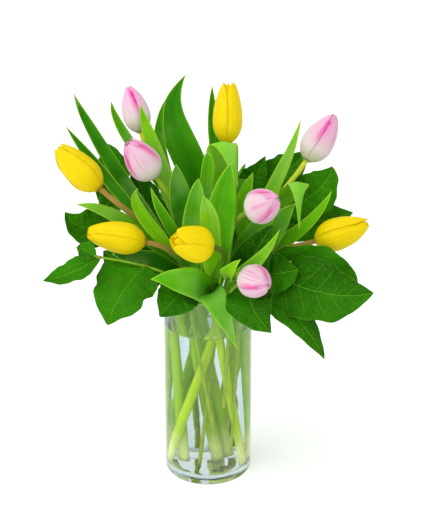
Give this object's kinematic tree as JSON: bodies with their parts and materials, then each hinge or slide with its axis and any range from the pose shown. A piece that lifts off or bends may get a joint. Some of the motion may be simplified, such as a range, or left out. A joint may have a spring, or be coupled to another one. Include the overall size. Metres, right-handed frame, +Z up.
{
  "type": "tulips in a glass vase",
  "caption": "Cut tulips in yellow and pink with their own leaves and sprays of dark broad leaves, standing in a clear glass cylinder vase part filled with water.",
  "frame": {"origin": "centre of the vase's flat underside", "axes": "+Z up along the vase's axis; -Y is the side the picture was taken from, +X to its right"},
  "size_m": [0.351, 0.2562, 0.4713],
  "materials": {
    "glass": "clear polished glass with a faint blue-green tint",
    "water": "clear still water",
    "tulip_green": "fresh smooth leaf, satin",
    "dark_green": "leathery dark leaf, satin",
    "yellow_petal": "soft satin petal",
    "pink_petal": "soft satin petal, pale at the base"
  },
  "bodies": {
    "root": {"vase": "glass", "water": "water", "stem_yellow_1": "tulip_green", "bloom_yellow_1": "yellow_petal", "stem_yellow_2": "tulip_green", "bloom_yellow_2": "yellow_petal", "stem_yellow_3": "tulip_green", "bloom_yellow_3": "yellow_petal", "stem_yellow_4": "tulip_green", "bloom_yellow_4": "yellow_petal", "stem_yellow_5": "tulip_green", "bloom_yellow_5": "yellow_petal", "stem_pink_1": "tulip_green", "bloom_pink_1": "pink_petal", "stem_pink_2": "tulip_green", "bloom_pink_2": "pink_petal", "stem_pink_3": "tulip_green", "bloom_pink_3": "pink_petal", "stem_pink_4": "tulip_green", "bloom_pink_4": "pink_petal", "stem_pink_5": "tulip_green", "bloom_pink_5": "pink_petal", "spray_left_front": "dark_green", "spray_left_back": "dark_green", "spray_back": "dark_green", "spray_right_back": "dark_green", "spray_right_front": "dark_green", "spray_front": "dark_green", "spray_middle": "dark_green", "spray_back_left": "dark_green", "spray_back_right": "dark_green"}
  },
  "joints": []
}
